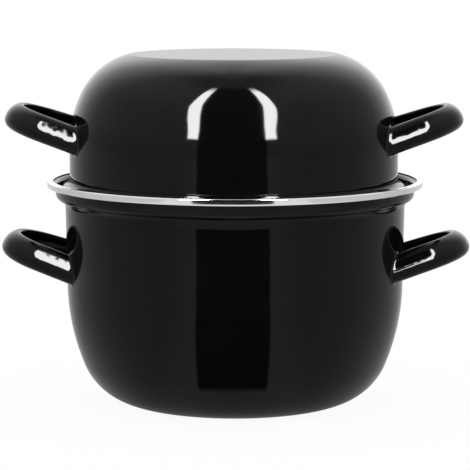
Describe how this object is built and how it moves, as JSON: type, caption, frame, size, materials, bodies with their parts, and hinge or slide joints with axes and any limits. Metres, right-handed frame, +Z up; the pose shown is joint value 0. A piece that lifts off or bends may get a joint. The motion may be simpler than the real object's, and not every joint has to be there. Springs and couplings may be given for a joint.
{
  "type": "mussel pot",
  "caption": "Round bulbous enamelled steel pot with a bright rim band, loop handles and a deep domed lid that turns over into a bowl for empty shells.",
  "frame": {"origin": "on the pot's axis, at the surface that it stands on", "axes": "+Z up through the lid, +X to the right-hand handles, -Y to the front"},
  "size_m": [0.3128, 0.25, 0.2331],
  "materials": {
    "enamel": "gloss black vitreous enamel over steel sheet",
    "steel": "polished stainless steel"
  },
  "bodies": {
    "root": {"pot_body": "enamel", "rim_band": "steel", "pot_handle_left": "enamel", "pot_handle_right": "enamel", "lid_shell": "enamel", "lid_handle_left": "enamel", "lid_handle_right": "enamel"}
  },
  "joints": []
}
